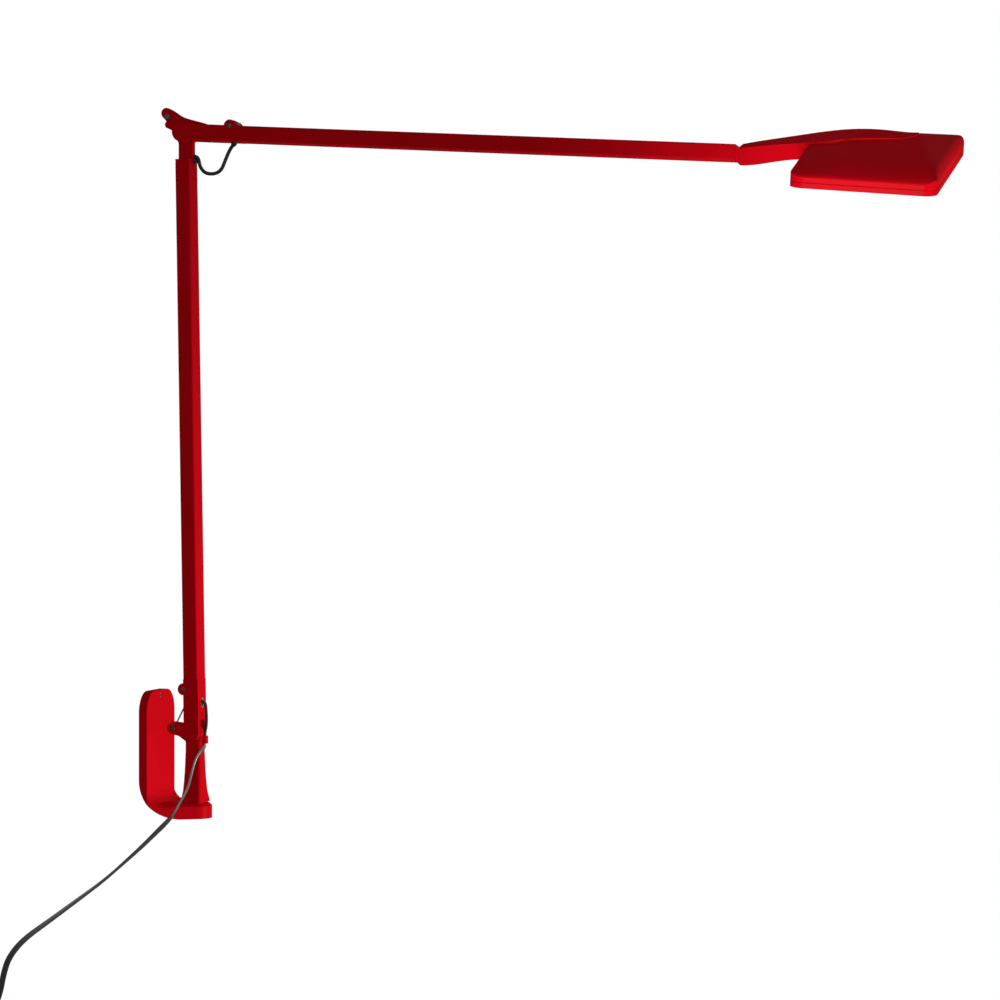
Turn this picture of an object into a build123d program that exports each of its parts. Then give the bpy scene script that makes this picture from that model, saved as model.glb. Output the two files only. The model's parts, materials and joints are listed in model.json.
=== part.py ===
from build123d import *
from math import asin, cos, degrees, radians, sin, tan
import os

# Wall-mounted architect desk lamp: a bent wall bracket, a swivelling post, two
# square-tube arms with horned joints and guide pulleys, and a flat rectangular head.
# Frame: origin at the centre of the bracket's back face, +X away from the wall, +Z up.

# Wall bracket
plate_thickness = 6
plate_width = 54
plate_top = 47.7
plate_corner = 15
bend_outer = 28
bend_inner = 11
base_nose = 12
nose_chamfer = 1.8
base_top = -32
base_bottom = -42.6
fixing_depth = 2.6
fixing_width = 26
fixing_bottom = -18
fixing_top = 46
fixing_gap = 0.2
wall_hole_radius = 2.3
wall_hole_spacing = 40
wall_hole_z = 12
grub_radius = 1.5
grub_z = 44

# Swivel post and shoulder
post_x = 32
shoulder_z = 18
running_gap = 0.05
swivel_washer = 0.4
washer_radius = 6.2
swivel_pin_radius = 4
swivel_pin_top = -12
swivel_head_radius = 6.3
swivel_head_height = 3.4
post_sections = (
    (0, 15.4, 23),
    (2.2, 14.8, 20.5),
    (8.2, 13.6, 16),
    (15.2, 12.9, 13.8),
    (22.7, 12.4, 12),
    (36.2, 11.8, 10.2),
)
post_shoulder_z = 12
blade = 6.4
blade_radius = 5.2
horn_reach = 15.8
horn_rise = 2.8
horn_radius = 4.4
barrel_radius = 1.9
barrel_length = 9
wire_radius = 0.5
wire_slot = 1.4

# Arms
lean = 0.95
pitch = 3.9
lower_length = 426.4
upper_length = 397
tube_height = 11
tube_width = 16.6
tube_wall = 1.2
tube_corner = 1.2
lower_root_length = 38
upper_root_length = 43
cheek_gap = 0.3
lower_gap_reach = 9
upper_gap_reach = 19
pin_radius = 2
pin_cover = 1.4
lower_cheek = 5.5
upper_cheek = 7.5
lower_ear_along = 31
upper_ear_along = 35.6
ear_offset = 5.3
ear_radius = 4.3
pulley_radius = 4.5
pulley_groove = 3.4
pulley_width = 4.4
axle_radius = 1.4
spigot_length = 6
spring_radius = 3.2
spring_length = 150
spring_bore = 2.2
anchor_length = 5
slot_along = 21
slot_length = 7
slot_width = 4.2
rim_thickness = 0.8

# Elbow
cap_base = 24.2
cap_top = 19.5
tongue_back = 4.3
tongue_front = 5.9
tongue_blade = 6
stud_radius = 2.5
elbow_cord_radius = 1.3

# Head joint
seam = 1.6
neck_setback = 6
ferrule_length = 4.2
spindle_radius = 3
spindle_length = 22
tilt_blade = 4
tilt_radius = 4.4
tilt_pin_radius = 1.5
tilt_pin_reach = 7.4

# Head
roll = 16
droop = 1.5
rim_drop = 5
neck_length = 48
shade_length = 95
shade_width = 174
shade_corner = 9
rim_height = 3.4
groove_height = 0.9
groove_inset = 1.2
edge_height = 9.4
crown_height = 26
roof_slope = 9.5
roof_shoulder = 27
brow_height = 16.5
brow_middle = (22.7, 21)
brow_reach = 36
end_round = 14
shade_wall = 1.8
crown_wall = 3.7
rim_border = 5
diffuser_thickness = 1.6
neck_sections = (
    (0, 8.2, 11, -1.6),
    (20, 12.4, 15.6, 1.4),
    (40, 17.4, 19.8, 6),
)
spine_sections = (
    (10, 21.3, -2.5, 8),
    (32, 20.6, 0.6, 8),
    (52, 16.2, 0.9, 8),
    (71.5, 5.5, 0.6, 8),
)
notch_length = 3.6
notch_depth = 2
board_size = (58, 122)
board_thickness = 1.2
board_corner = 3
chip_size = 3
chip_pitch = (20, 18)
spreader_thickness = 2
fin_size = (1.6, 30)
fin_pitch = 14
button_radius = 4
button_height = 4
button_travel = 0.8
button_from_seam = 26
button_base = 1.9

# Mains cord
cord_radius = 1.35
clip_z = 12.9
clip_radius = 2.2
clip_height = 5.4
clip_stand = 1.6
coil_radius = 21
coil_section = (12, 16)
coil_chamfer = 4
coil_gap = 0.2
tie_fit = 0.5
tie_wall = 1
tie_width = 5
adapter_lead_length = 16
relief_length = 12
relief_radii = (2.2, 4)
adapter_wall_gap = 1.6
adapter_size = (30, 34, 44)
pin_spacing = 19
adapter_pin_radius = 2
adapter_pin_length = 17

os.makedirs("parts", exist_ok=True)

# Frames along the arms, with x along the arm and y towards its horn side
shoulder = Vector(post_x, 0, shoulder_z)
lower_along = Vector(-sin(radians(lean)), 0, cos(radians(lean)))
elbow = shoulder + lower_along * lower_length
upper_along = Vector(cos(radians(pitch)), 0, -sin(radians(pitch)))
upper_up = Vector(sin(radians(pitch)), 0, cos(radians(pitch)))
tilt_pivot = elbow + upper_along * (upper_length + seam + neck_setback)
near = Vector(0, -1, 0)

lower_side = Plane(origin=shoulder, x_dir=lower_along, z_dir=near)
upper_side = Plane(origin=elbow, x_dir=upper_along, z_dir=near)
shoulder_side = Plane(origin=shoulder, x_dir=(1, 0, 0), z_dir=near)
elbow_side = Plane(origin=elbow, x_dir=(1, 0, 0), z_dir=near)


def across(side, distance):
    """Section plane square to an arm, with x along +Y and y towards the horn side."""
    return Plane(origin=side.origin + side.x_dir * distance, x_dir=(0, 1, 0), z_dir=side.x_dir)


# Wall bracket: a J of thick plate, its base drawn in to a round nose under the post
base_front = post_x + base_nose
with BuildPart() as wall_bracket:
    with BuildSketch(Plane.XZ):
        with BuildLine():
            outer = JernArc((0, base_bottom + bend_outer), (0, -1), bend_outer, 90)
            end = Polyline(outer @ 1, (base_front, base_bottom), (base_front, base_top),
                           (plate_thickness + bend_inner, base_top))
            inner = JernArc(end @ 1, (-1, 0), bend_inner, -90)
            Polyline(inner @ 1, (plate_thickness, plate_top), (0, plate_top), outer @ 0)
        make_face()
    extrude(amount=plate_width / 2, both=True)
    with BuildSketch(Plane.XY.offset(base_bottom - 1)):
        with Locations((plate_thickness / 2, 0)):
            Rectangle(plate_thickness, plate_width)
        with Locations((post_x, 0)):
            Circle(base_nose)
        make_hull()
    extrude(amount=plate_top - base_bottom + 2, mode=Mode.INTERSECT)
    fillet(wall_bracket.edges().filter_by(Axis.X).group_by(Axis.Z)[-1], plate_corner)
    # Softened edge round the base's top and nose
    top_edges = wall_bracket.edges().filter_by_position(Axis.Z, base_top, base_top)
    chamfer(top_edges.filter_by_position(Axis.X, post_x - base_nose, base_front), nose_chamfer)
    # Pocket in the back for the fixing plate, and the grub screw's hole
    with BuildSketch(Plane.YZ):
        with Locations((0, (fixing_top + fixing_bottom) / 2)):
            RectangleRounded(fixing_width + 2 * fixing_gap,
                             fixing_top - fixing_bottom + 2 * fixing_gap, 2)
    extrude(amount=fixing_depth + fixing_gap, mode=Mode.SUBTRACT)
    with BuildSketch(Plane.YZ):
        with Locations((0, grub_z)):
            Circle(grub_radius + running_gap)
    extrude(amount=plate_thickness + 1, mode=Mode.SUBTRACT)
    # Swivel pin's hole through the base, with its head sunk below
    with BuildSketch(Plane.XY.offset(base_bottom)):
        with Locations((post_x, 0)):
            Circle(swivel_pin_radius + running_gap)
    extrude(amount=base_top - base_bottom + 1, mode=Mode.SUBTRACT)
    with BuildSketch(Plane.XY.offset(base_bottom - 1)):
        with Locations((post_x, 0)):
            Circle(swivel_head_radius + 2 * running_gap)
    extrude(amount=swivel_head_height + 1.6, mode=Mode.SUBTRACT)
wall_bracket.part.label = "wall_bracket"
export_step(wall_bracket.part, "parts/wall_bracket.step")

with BuildPart() as fixing_plate:
    with BuildSketch(Plane.YZ):
        with Locations((0, (fixing_top + fixing_bottom) / 2)):
            RectangleRounded(fixing_width, fixing_top - fixing_bottom, 2)
        with Locations((0, wall_hole_z)):
            with GridLocations(0, wall_hole_spacing, 1, 2):
                Circle(wall_hole_radius, mode=Mode.SUBTRACT)
    extrude(amount=fixing_depth)
fixing_plate.part.label = "fixing_plate"
export_step(fixing_plate.part, "parts/fixing_plate.step")

with BuildPart() as bracket_grub_screw:
    with BuildSketch(Plane.YZ.offset(fixing_depth + 0.1)):
        with Locations((0, grub_z)):
            Circle(grub_radius)
    extrude(amount=plate_thickness - fixing_depth - 0.4)
    with BuildSketch(Plane.YZ.offset(plate_thickness - 0.3)):
        with Locations((0, grub_z)):
            RegularPolygon(0.8, 6)
    extrude(amount=-1.5, mode=Mode.SUBTRACT)
bracket_grub_screw.part.label = "bracket_grub_screw"
export_step(bracket_grub_screw.part, "parts/bracket_grub_screw.step")

with BuildPart() as swivel_washer_disc:
    with BuildSketch(Plane.XY.offset(base_top)):
        with Locations((post_x, 0)):
            Circle(washer_radius)
            Circle(swivel_pin_radius + running_gap, mode=Mode.SUBTRACT)
    extrude(amount=swivel_washer)
swivel_washer_disc.part.label = "swivel_washer"
export_step(swivel_washer_disc.part, "parts/swivel_washer.step")

swivel_head_base = base_bottom + 0.4
with BuildPart() as swivel_pin:
    with BuildSketch(Plane.XY.offset(swivel_head_base)):
        with Locations((post_x, 0)):
            Circle(swivel_head_radius)
            RegularPolygon(2.5, 6, mode=Mode.SUBTRACT)
    extrude(amount=swivel_head_height)
    with BuildSketch(Plane.XY.offset(swivel_head_base + 2)):
        with Locations((post_x, 0)):
            Circle(swivel_pin_radius)
    extrude(amount=swivel_pin_top - swivel_head_base - 2)
    chamfer(swivel_pin.edges().group_by(Axis.Z)[-1], 0.6)
swivel_pin.part.label = "swivel_pin"
export_step(swivel_pin.part, "parts/swivel_pin.step")

# Post: a flared foot drawn in to a flat blade, with a horn pointing back to the wall
post_base = base_top + swivel_washer + running_gap
neck_depth, neck_across = post_sections[-1][1:]
with BuildPart() as swivel_post:
    for height, depth, width in post_sections:
        with BuildSketch(Plane(origin=(post_x, 0, post_base + height))):
            RectangleRounded(depth, width, 2)
    loft(ruled=True)
    with BuildSketch(Plane(origin=(post_x, 0, post_base + post_sections[-1][0]))):
        RectangleRounded(neck_depth, neck_across, 2)
    extrude(amount=post_shoulder_z - post_base - post_sections[-1][0])
    with BuildSketch(shoulder_side):
        with Locations((-horn_reach, horn_rise)):
            Circle(horn_radius)
        Circle(blade_radius)
        make_hull()
        with Locations((0, (post_shoulder_z - shoulder_z) / 2 - 1)):
            Rectangle(2 * blade_radius, shoulder_z - post_shoulder_z + 2)
        with BuildLine():
            Polyline((-blade_radius, -7), (-horn_reach + 3, -1.6), (0, -1.6), (0, -7), close=True)
        make_face()
    extrude(amount=blade / 2, both=True)
    with BuildSketch(shoulder_side):
        Circle(pin_radius + running_gap)
        with Locations((-horn_reach, horn_rise)):
            Circle(barrel_radius + running_gap)
    extrude(amount=blade, both=True, mode=Mode.SUBTRACT)
    # Slot in the horn for the balance wire's swing
    with BuildSketch(shoulder_side):
        with BuildLine():
            Polyline((-horn_reach, horn_rise), (-horn_reach - 1, horn_rise + 9), (0, horn_rise + 9),
                     (-2.4, horn_rise + 0.4), close=True)
        make_face()
    extrude(amount=wire_slot / 2, both=True, mode=Mode.SUBTRACT)
    with BuildSketch(Plane(origin=(post_x, 0, post_base))):
        Circle(swivel_pin_radius + running_gap)
    extrude(amount=swivel_pin_top - post_base + 1, mode=Mode.SUBTRACT)
swivel_post.part.label = "swivel_post"
export_step(swivel_post.part, "parts/swivel_post.step")

# Black barrels in the tips of the two horns, where the balance wires end
elbow_barrel_at = (-12.5, 11)
barrels = {
    "shoulder_barrel": (shoulder_side, (-horn_reach, horn_rise)),
    "elbow_barrel": (elbow_side, elbow_barrel_at),
}
for name, (plane, place) in barrels.items():
    with BuildPart() as barrel:
        with BuildSketch(plane):
            with Locations(place):
                Circle(barrel_radius)
        extrude(amount=barrel_length / 2, both=True)
        chamfer(barrel.edges(), 0.4)
    barrel.part.label = name
    export_step(barrel.part, f"parts/{name}.step")

# Clip on the post's front: the cord goes in at its top and comes out below
clip_x = post_x + neck_depth / 2
clip_front = clip_x + clip_stand
with BuildPart() as cord_clip:
    with BuildSketch(Plane.XY.offset(clip_z - clip_height / 2)):
        with Locations((clip_front, 0)):
            Circle(clip_radius)
    extrude(amount=clip_height)
    with BuildSketch(Plane(origin=(post_x, 0, clip_z - clip_height / 2 - 1))):
        Rectangle(neck_depth, neck_across)
    extrude(amount=clip_height + 2, mode=Mode.SUBTRACT)
cord_clip.part.label = "cord_clip"
export_step(cord_clip.part, "parts/cord_clip.step")


def make_root(name, side, length, ear_along, cheek, gap, gap_reach, front_slot):
    """Fork at the foot of an arm: two cheeks round the blade and an ear for the pulley."""
    half = tube_height / 2
    with BuildPart() as root:
        with BuildSketch(side):
            Circle(cheek)
            with BuildLine():
                Polyline((0, -half), (length, -half), (length, half), (0, half), close=True)
            make_face()
            with Locations((ear_along, ear_offset)):
                Circle(ear_radius)
        extrude(amount=tube_width / 2, both=True)
        # Gap for the blade, its horn side cut further for the horn's swing
        with BuildSketch(side):
            with BuildLine():
                Polyline((-cheek - 1, -cheek - 1), (gap_reach, -cheek - 1), (gap_reach, 0),
                         (ear_along - 2, 0), (ear_along - 2, cheek + 1),
                         (-cheek - 1, cheek + 1), close=True)
            make_face()
        extrude(amount=gap / 2, both=True, mode=Mode.SUBTRACT)
        with BuildSketch(side):
            with Locations((ear_along, ear_offset)):
                Circle(pulley_radius + 0.6)
        extrude(amount=pulley_width / 2 + cheek_gap, both=True, mode=Mode.SUBTRACT)
        with BuildSketch(side):
            with Locations((ear_along, ear_offset)):
                Circle(axle_radius + running_gap)
        extrude(amount=tube_width, both=True, mode=Mode.SUBTRACT)
        # Blind hole for the joint pin, closed on the near side
        with BuildSketch(side.offset(tube_width / 2 - pin_cover)):
            Circle(pin_radius + running_gap)
        extrude(amount=-tube_width, mode=Mode.SUBTRACT)
        # Spigot that plugs into the tube, with the wire's bore
        with BuildSketch(across(side, length)):
            RectangleRounded(tube_width - 2 * tube_wall - 0.2, tube_height - 2 * tube_wall - 0.2, 0.5)
        extrude(amount=spigot_length)
        with BuildSketch(across(side, gap_reach - 2)):
            Circle(spring_bore)
        extrude(amount=length + spigot_length - gap_reach + 3, mode=Mode.SUBTRACT)
        if front_slot:
            slot_face = side.origin + side.x_dir * slot_along - side.y_dir * (half + 1)
            with BuildSketch(Plane(origin=slot_face, x_dir=side.x_dir, z_dir=side.y_dir)):
                RectangleRounded(slot_length, slot_width, 1.8)
            extrude(amount=half + 1, mode=Mode.SUBTRACT)
    root.part.label = name
    export_step(root.part, f"parts/{name}.step")


make_root("lower_root", lower_side, lower_root_length, lower_ear_along, lower_cheek,
          blade + 2 * cheek_gap, lower_gap_reach, True)
make_root("upper_root", upper_side, upper_root_length, upper_ear_along, upper_cheek,
          tongue_blade + 2 * cheek_gap, upper_gap_reach, False)

lower_tube_end = lower_length - cap_base
upper_tube_end = upper_length - ferrule_length
arms = {
    "lower": (lower_side, lower_root_length, lower_tube_end, lower_ear_along),
    "upper": (upper_side, upper_root_length, upper_tube_end, upper_ear_along),
}

for arm, (side, root_length, tube_end, ear_along) in arms.items():
    # Square tube
    with BuildPart() as tube:
        with BuildSketch(across(side, root_length)):
            RectangleRounded(tube_width, tube_height, tube_corner)
            RectangleRounded(tube_width - 2 * tube_wall, tube_height - 2 * tube_wall, 0.6,
                             mode=Mode.SUBTRACT)
        extrude(amount=tube_end - root_length)
    tube.part.label = f"{arm}_tube"
    export_step(tube.part, f"parts/{arm}_tube.step")

    # Guide pulley with its groove, and its axle
    with BuildPart() as pulley:
        with BuildSketch(side):
            with Locations((ear_along, ear_offset)):
                Circle(pulley_radius)
                Circle(axle_radius + running_gap, mode=Mode.SUBTRACT)
        extrude(amount=pulley_width / 2, both=True)
        with BuildSketch(side):
            with Locations((ear_along, ear_offset)):
                Circle(pulley_radius + 1)
                Circle(pulley_groove, mode=Mode.SUBTRACT)
        extrude(amount=pulley_width / 2 - 1.2, both=True, mode=Mode.SUBTRACT)
    pulley.part.label = f"{arm}_pulley"
    export_step(pulley.part, f"parts/{arm}_pulley.step")

    with BuildPart() as axle:
        with BuildSketch(side):
            with Locations((ear_along, ear_offset)):
                Circle(axle_radius)
        extrude(amount=tube_width / 2 - 0.2, both=True)
    axle.part.label = f"{arm}_pulley_axle"
    export_step(axle.part, f"parts/{arm}_pulley_axle.step")

    # Joint pin across the cheeks
    with BuildPart() as pin:
        with BuildSketch(side.offset(tube_width / 2 - pin_cover - 0.1)):
            Circle(pin_radius)
        extrude(amount=pin_cover + 0.3 - tube_width)
    pin_name = {"lower": "shoulder_pin", "upper": "elbow_pin"}[arm]
    pin.part.label = pin_name
    export_step(pin.part, f"parts/{pin_name}.step")

    # Balance spring in its sleeve, and the block that holds its far end
    spring_start = root_length + spigot_length + 0.2
    with BuildPart() as spring:
        with BuildSketch(across(side, spring_start)):
            Circle(spring_radius)
            Circle(spring_radius - 1, mode=Mode.SUBTRACT)
        extrude(amount=spring_length)
    spring.part.label = f"{arm}_spring_sleeve"
    export_step(spring.part, f"parts/{arm}_spring_sleeve.step")

    with BuildPart() as anchor:
        with BuildSketch(across(side, spring_start + spring_length + 0.2)):
            RectangleRounded(tube_width - 2 * tube_wall - 0.2, tube_height - 2 * tube_wall - 0.2, 0.5)
            with Locations((tube_width / 4, 0)):
                Circle(1.5, mode=Mode.SUBTRACT)
        extrude(amount=anchor_length)
    anchor.part.label = f"{arm}_spring_anchor"
    export_step(anchor.part, f"parts/{arm}_spring_anchor.step")

# Balance wires, from each horn's barrel to the inner side of the guide pulley
wires = {
    "shoulder_wire": (lower_side, lower_ear_along, shoulder, (-horn_reach, horn_rise)),
    "elbow_wire": (upper_side, upper_ear_along, elbow, elbow_barrel_at),
}
for name, (side, ear_along, pivot, barrel_at) in wires.items():
    barrel_centre = pivot + Vector(barrel_at[0], 0, barrel_at[1])
    reach = side.origin + side.x_dir * ear_along + side.y_dir * ear_offset - barrel_centre
    swing = asin((pulley_groove + wire_radius) / reach.length)
    wire_heading = reach.normalized().rotate(Axis.Y, degrees(swing))
    with BuildPart() as wire:
        with BuildSketch(Plane(origin=barrel_centre + wire_heading * (barrel_radius + 0.1),
                               z_dir=wire_heading)):
            Circle(wire_radius)
        extrude(amount=reach.length * cos(swing) - barrel_radius - 0.2)
    wire.part.label = name
    export_step(wire.part, f"parts/{name}.step")
    print(name, "heading", [round(v, 4) for v in wire_heading])

# Bright rim of the cord's slot in the lower root
with BuildPart() as slot_rim:
    with BuildSketch(Plane(origin=shoulder + lower_along * slot_along
                           - lower_side.y_dir * (tube_height / 2 + 0.3),
                           x_dir=lower_along, z_dir=lower_side.y_dir)):
        RectangleRounded(slot_length - 0.2, slot_width - 0.2, 1.7)
        RectangleRounded(slot_length - 0.2 - 2 * rim_thickness, slot_width - 0.2 - 2 * rim_thickness,
                         0.9, mode=Mode.SUBTRACT)
    extrude(amount=2)
slot_rim.part.label = "slot_rim"
export_step(slot_rim.part, "parts/slot_rim.step")

# Cap at the top of the lower tube
with BuildPart() as lower_cap:
    with BuildSketch(across(lower_side, lower_tube_end)):
        RectangleRounded(tube_width, tube_height, tube_corner)
    extrude(amount=cap_base - cap_top)
    with BuildSketch(across(lower_side, lower_tube_end)):
        RectangleRounded(tube_width - 2 * tube_wall - 0.2, tube_height - 2 * tube_wall - 0.2, 0.5)
    extrude(amount=-spigot_length)
    with BuildSketch(across(lower_side, lower_tube_end - spigot_length - 1)):
        Circle(stud_radius + running_gap)
    extrude(amount=spigot_length + cap_base, mode=Mode.SUBTRACT)
    # Shadow groove round the cap
    with BuildSketch(across(lower_side, lower_tube_end + 2.6)):
        RectangleRounded(tube_width + 2, tube_height + 2, tube_corner)
        RectangleRounded(tube_width - 0.8, tube_height - 0.8, tube_corner - 0.4, mode=Mode.SUBTRACT)
    extrude(amount=0.5, mode=Mode.SUBTRACT)
lower_cap.part.label = "lower_cap"
export_step(lower_cap.part, "parts/lower_cap.step")

# Elbow blade: a stem on the cap that rises into a two-lobed horn behind the pivot
stem_base = 0.1 - cap_top
with BuildPart() as elbow_blade:
    with BuildSketch(elbow_side):
        with BuildLine():
            stem = Line((-tongue_back, stem_base), (-tongue_back, -9))
            back = Spline(stem @ 1, (-6.2, -4.2), (-8.4, 0.6), (-12.4, 3), tangents=((0, 1), (-1, 0.6)))
            lobe = ThreePointArc(back @ 1, (-14.7, 5.7), (-13.5, 8))
            notch = Line(lobe @ 1, (-16.3, 11.2))
            tip = ThreePointArc(notch @ 1, (-16.8, 16.1), (-13, 17.7))
            web = Spline(tip @ 1, (-8, 14.9), (-3.6, 12), (3.8, 9.1), (11.1, 7), (16, 5.6))
            Polyline(web @ 1, (16.4, 1), (tongue_front, -6), (tongue_front, stem_base), stem @ 0)
        make_face()
    extrude(amount=tongue_blade / 2, both=True)
    with BuildSketch(elbow_side):
        Circle(pin_radius + running_gap)
        with Locations(elbow_barrel_at):
            Circle(barrel_radius + running_gap)
    extrude(amount=tongue_blade, both=True, mode=Mode.SUBTRACT)
    # Slot for the balance wire's swing
    with BuildSketch(elbow_side):
        with BuildLine():
            Polyline(elbow_barrel_at, (-12, 20), (18, 20), (18, -4), (3, 3.4), close=True)
        make_face()
    extrude(amount=wire_slot / 2, both=True, mode=Mode.SUBTRACT)
    with BuildSketch(across(lower_side, lower_length - cap_top + 1)):
        Circle(stud_radius)
    extrude(amount=-spigot_length - cap_base + cap_top)
elbow_blade.part.label = "elbow_blade"
export_step(elbow_blade.part, "parts/elbow_blade.step")

# Ferrule at the end of the upper tube, bored for the spindle
with BuildPart() as upper_ferrule:
    with BuildSketch(across(upper_side, upper_tube_end)):
        RectangleRounded(tube_width, tube_height, tube_corner)
    extrude(amount=ferrule_length)
    with BuildSketch(across(upper_side, upper_tube_end)):
        RectangleRounded(tube_width - 2 * tube_wall - 0.2, tube_height - 2 * tube_wall - 0.2, 0.5)
    extrude(amount=-spindle_length)
    with BuildSketch(across(upper_side, upper_length + 1)):
        Circle(spindle_radius + running_gap)
    extrude(amount=-spindle_length - ferrule_length - 2, mode=Mode.SUBTRACT)
    with BuildSketch(across(upper_side, upper_tube_end + 0.9)):
        RectangleRounded(tube_width + 2, tube_height + 2, tube_corner)
        RectangleRounded(tube_width - 0.8, tube_height - 0.8, tube_corner - 0.4, mode=Mode.SUBTRACT)
    extrude(amount=0.5, mode=Mode.SUBTRACT)
upper_ferrule.part.label = "upper_ferrule"
export_step(upper_ferrule.part, "parts/upper_ferrule.step")

# Spindle: turns in the ferrule, and its flat end carries the head's tilt pin
rolled_up = upper_up * cos(radians(roll)) + near * sin(radians(roll))
head_y = rolled_up.cross(upper_along)
head_along = upper_along * cos(radians(droop)) - rolled_up * sin(radians(droop))
head_up = rolled_up * cos(radians(droop)) + upper_along * sin(radians(droop))
rim_origin = tilt_pivot - head_up * rim_drop
head_side = Plane(origin=rim_origin, x_dir=head_along, z_dir=head_y * -1)
head_tilt = Plane(origin=tilt_pivot, x_dir=upper_along, z_dir=head_y * -1)


def head_plan(height):
    """Plane across the head at a height above its rim."""
    return Plane(origin=rim_origin + head_up * height, x_dir=head_along, z_dir=head_up)


def head_end(distance):
    """Plane square to the head's length."""
    return Plane(origin=rim_origin + head_along * distance, x_dir=head_y, z_dir=head_along)


with BuildPart() as head_spindle:
    with BuildSketch(across(upper_side, upper_length - spindle_length)):
        Circle(spindle_radius)
    extrude(amount=spindle_length + cheek_gap)
    with BuildSketch(head_tilt):
        Circle(tilt_radius)
        with BuildLine():
            Polyline((-neck_setback - seam, -spindle_radius), (0, -tilt_radius), (0, tilt_radius),
                     (-neck_setback - seam, spindle_radius), close=True)
        make_face()
    extrude(amount=tilt_blade / 2, both=True)
    with BuildSketch(head_tilt):
        Circle(tilt_pin_radius + running_gap)
    extrude(amount=tilt_blade, both=True, mode=Mode.SUBTRACT)
head_spindle.part.label = "head_spindle"
export_step(head_spindle.part, "parts/head_spindle.step")

with BuildPart() as tilt_pin:
    with BuildSketch(head_tilt.offset(tilt_pin_reach)):
        Circle(tilt_pin_radius)
    extrude(amount=-2 * tilt_pin_reach - tilt_pin_radius)
tilt_pin.part.label = "tilt_pin"
export_step(tilt_pin.part, "parts/tilt_pin.step")

# Head, from the seam end of the neck at x = -neck_setback to the far edge of the shade
neck_start = -neck_setback
shade_start = neck_start + neck_length
shade_end = shade_start + shade_length
shade_middle = shade_start + shade_length / 2
cover_base = rim_height + groove_height
button_x = neck_start + button_from_seam
slope = tan(radians(roof_slope))


def roof(half, edge, crown, start, end, corner):
    """Low gable with bowed shoulders, a brow towards the neck and a rounded far end."""
    bend = half - roof_shoulder
    with BuildPart() as form:
        with BuildSketch(head_end(start)):
            with BuildLine():
                base = Polyline((-half, edge), (-half, cover_base), (half, cover_base), (half, edge))
                right = Spline(base @ 1, (bend, crown - bend * slope),
                               tangents=((0, 1), (-1, slope)))
                left = Spline((-bend, crown - bend * slope), base @ 0,
                              tangents=((-1, -slope), (0, -1)))
                Polyline(right @ 1, (0, crown), left @ 0)
            make_face()
        extrude(amount=end - start)
        with BuildSketch(head_plan(0)):
            with Locations(((start + end) / 2, 0)):
                RectangleRounded(end - start, 2 * half, corner)
        extrude(amount=crown + 5, mode=Mode.INTERSECT)
        with BuildSketch(head_side):
            with BuildLine():
                lift = crown - crown_height
                brow = Spline((start, brow_height + lift),
                              (start + brow_middle[0], brow_middle[1] + lift),
                              (start + brow_reach, crown + 0.1), tangents=((1, 0.12), (1, 0.3)))
                fall = Spline((end - end_round, crown + 0.1), (end, edge),
                              tangents=((1, 0), (0, -1)))
                Polyline(brow @ 1, fall @ 0)
                Polyline(fall @ 1, (end, 0), (start, 0), brow @ 0)
            make_face()
        extrude(amount=half + 1, both=True, mode=Mode.INTERSECT)
    return form.part


cover_outer = roof(shade_width / 2, edge_height, crown_height, shade_start, shade_end, shade_corner)
cover_inner = roof(shade_width / 2 - shade_wall, edge_height - shade_wall,
                   crown_height - crown_wall, shade_start + shade_wall, shade_end - shade_wall,
                   shade_corner - shade_wall)

spine_tip = shade_start + spine_sections[-1][0]
tip_half = spine_sections[-1][1]
with BuildPart() as head_cover:
    add(cover_outer)
    add(cover_inner, mode=Mode.SUBTRACT)
    # Finger notch in front of the spine's tip
    with BuildSketch(head_side):
        with BuildLine():
            Polyline((spine_tip + 0.1, crown_height + 1), (spine_tip + 0.1, crown_height - notch_depth),
                     (spine_tip + 0.8, crown_height - notch_depth),
                     (spine_tip + notch_length, crown_height + 0.4),
                     (spine_tip + notch_length, crown_height + 1), close=True)
        make_face()
    extrude(amount=tip_half + 4, both=True, mode=Mode.SUBTRACT)
head_cover.part.label = "head_cover"
export_step(head_cover.part, "parts/head_cover.step")

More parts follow.
